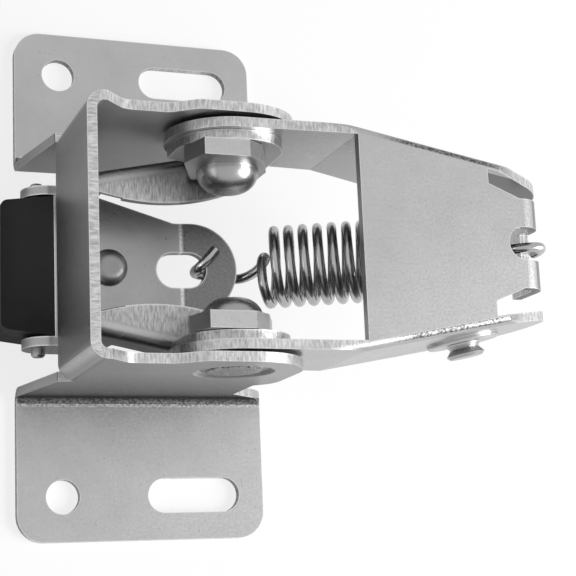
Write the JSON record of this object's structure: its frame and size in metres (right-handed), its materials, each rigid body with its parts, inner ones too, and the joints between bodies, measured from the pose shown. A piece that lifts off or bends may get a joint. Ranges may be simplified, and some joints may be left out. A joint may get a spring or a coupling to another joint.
{
  "type": "foot-operated screen door catch",
  "caption": "Foot-operated door catch: a flanged steel bracket carries a spring-loaded pedal and a rubber-footed carrier on one pivot axis.",
  "frame": {"origin": "midway between the two round screw holes, on the back of the flanges", "axes": "+Z out of the door face, +X from the rubber foot to the pedal's free end, +Y across the bracket"},
  "size_m": [0.084, 0.0854, 0.041],
  "materials": {
    "bracket_steel": "satin zinc plate",
    "pedal_steel": "satin zinc plate",
    "carrier_steel": "dull zinc plate",
    "spacer_steel": "satin zinc plate",
    "rivet_steel": "smooth zinc plate",
    "spring_wire": "polished spring wire",
    "foot_rubber": "matte black"
  },
  "bodies": {
    "bracket": {"bracket": "bracket_steel", "pivot_rivet_upper": "rivet_steel", "pivot_rivet_lower": "rivet_steel", "pivot_spacer_upper": "spacer_steel", "pivot_spacer_lower": "spacer_steel"},
    "pedal": {"pedal": "pedal_steel", "stud_washer_upper": "spacer_steel", "stud_washer_lower": "spacer_steel", "side_stud_upper": "rivet_steel", "side_stud_lower": "rivet_steel"},
    "foot": {"foot_carrier": "carrier_steel", "rubber_foot": "foot_rubber", "foot_cross_pin": "rivet_steel", "foot_rivet": "rivet_steel"},
    "spring": {"spring": "spring_wire"}
  },
  "joints": [
    {"name": "pedal_swing", "type": "hinge", "parent": "bracket", "child": "pedal", "pos_m": [0.02, 0, 0.03], "axis": [0, -1, 0], "range_deg": [0, 115]},
    {"name": "foot_swing", "type": "hinge", "parent": "bracket", "child": "foot", "pos_m": [0.02, 0, 0.03], "axis": [0, 1, 0], "range_deg": [0, 12]},
    {"name": "spring_swing", "type": "hinge", "parent": "pedal", "child": "spring", "pos_m": [0.0699, 0, 0.0357], "axis": [0, -1, 0], "range_deg": [-28, 0], "deforming": ["spring"]}
  ],
  "couplings": [
    {"joint": "spring_swing", "follows": "pedal_swing", "ratio": -0.2415}
  ]
}
